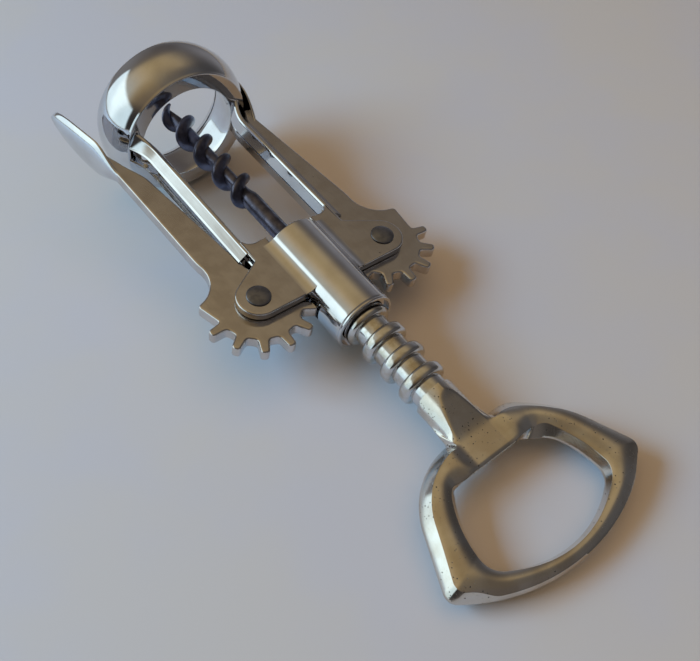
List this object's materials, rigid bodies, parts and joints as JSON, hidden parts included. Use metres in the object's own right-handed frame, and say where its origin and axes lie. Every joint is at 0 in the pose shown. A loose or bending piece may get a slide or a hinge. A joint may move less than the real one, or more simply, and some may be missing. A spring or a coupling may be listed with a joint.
{
  "type": "lever corkscrew",
  "caption": "Lever corkscrew whose two geared side levers lift a ringed rack with a spinning worm through a bell frame; its loop handle doubles as a bottle opener.",
  "frame": {"origin": "centre of the bell's mouth, in the plane of the mouth", "axes": "+Y out of the mouth along the tool's axis, +X to the right lever, +Z square to the flat cheeks of the head"},
  "size_m": [0.0695, 0.1796, 0.0438],
  "materials": {
    "frame_chrome": "polished plated casting",
    "lever_chrome": "worn plating",
    "rivet_steel": "dark and worn",
    "rack_chrome": "polished plated",
    "worm_steel": "blackened, satin",
    "handle_chrome": "polished plated, pitted"
  },
  "bodies": {
    "frame": {"bell": "frame_chrome", "left_leg": "frame_chrome", "right_leg": "frame_chrome", "front_cheeks": "frame_chrome", "back_cheeks": "frame_chrome", "collar": "frame_chrome", "left_rivet": "rivet_steel", "right_rivet": "rivet_steel"},
    "left_lever": {"left_lever": "lever_chrome"},
    "right_lever": {"right_lever": "lever_chrome"},
    "rack": {"rack_sleeve": "rack_chrome"},
    "spindle": {"worm": "worm_steel", "handle_neck": "handle_chrome", "handle_loop": "handle_chrome"}
  },
  "joints": [
    {"name": "left_lever_pivot", "type": "hinge", "parent": "frame", "child": "left_lever", "pos_m": [-0.0199, -0.0775, 0], "axis": [0, 0, 1], "range_deg": [0, 95]},
    {"name": "right_lever_pivot", "type": "hinge", "parent": "frame", "child": "right_lever", "pos_m": [0.0199, -0.0775, 0], "axis": [0, 0, 1], "range_deg": [-95, 0]},
    {"name": "rack_slide", "type": "slide", "parent": "frame", "child": "rack", "axis": [0, 1, 0], "range_m": [0, 0.02375]},
    {"name": "worm_spin", "type": "hinge", "parent": "rack", "child": "spindle", "pos_m": [0, -0.0775, 0], "axis": [0, 1, 0], "continuous": true}
  ],
  "couplings": [
    {"joint": "right_lever_pivot", "follows": "left_lever_pivot", "ratio": -1},
    {"joint": "rack_slide", "follows": "left_lever_pivot", "m_per_rad": 0.014297}
  ]
}
